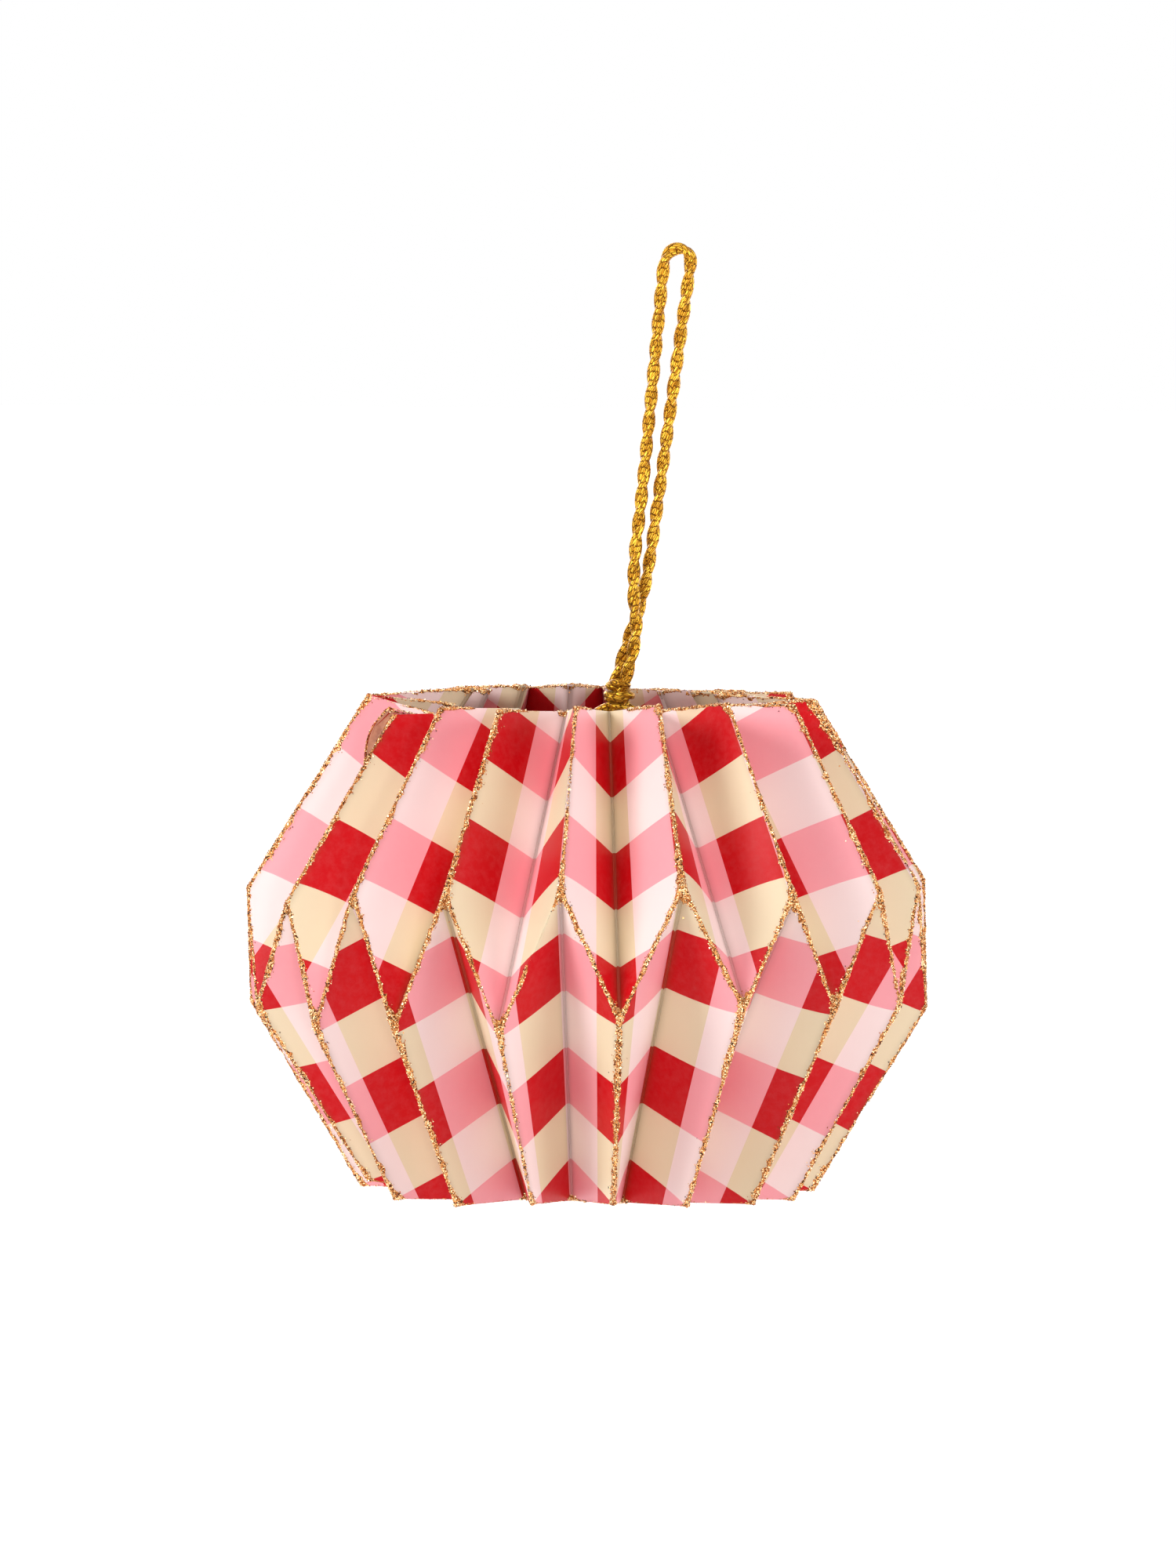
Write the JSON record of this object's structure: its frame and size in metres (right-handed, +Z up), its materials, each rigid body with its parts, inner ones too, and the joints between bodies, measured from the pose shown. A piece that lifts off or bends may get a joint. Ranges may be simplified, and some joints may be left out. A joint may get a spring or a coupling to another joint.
{
  "type": "pleated paper ball ornament",
  "caption": "Hanging ball of one sheet of printed card folded into a ring of zigzag pleats, open at top and bottom, with glittered folds and a knotted gold cord loop.",
  "frame": {"origin": "middle of the ball: on its axis, halfway between the highest and the lowest point of the ball without its cord", "axes": "+Z up along the ball's axis, towards the hanging loop; front towards -Y, +X to the right"},
  "size_m": [0.1008, 0.1008, 0.1403],
  "materials": {
    "gingham_card": "satin",
    "gold_glitter": "sparkling",
    "gold_cord": "metallic"
  },
  "bodies": {
    "root": {"folded_paper_shell": "gingham_card", "glitter_edging": "gold_glitter", "hanging_loop": "gold_cord", "cord_knot": "gold_cord", "cord_tail_left": "gold_cord", "cord_tail_right": "gold_cord", "end_knot_left": "gold_cord", "end_knot_right": "gold_cord"}
  },
  "joints": []
}
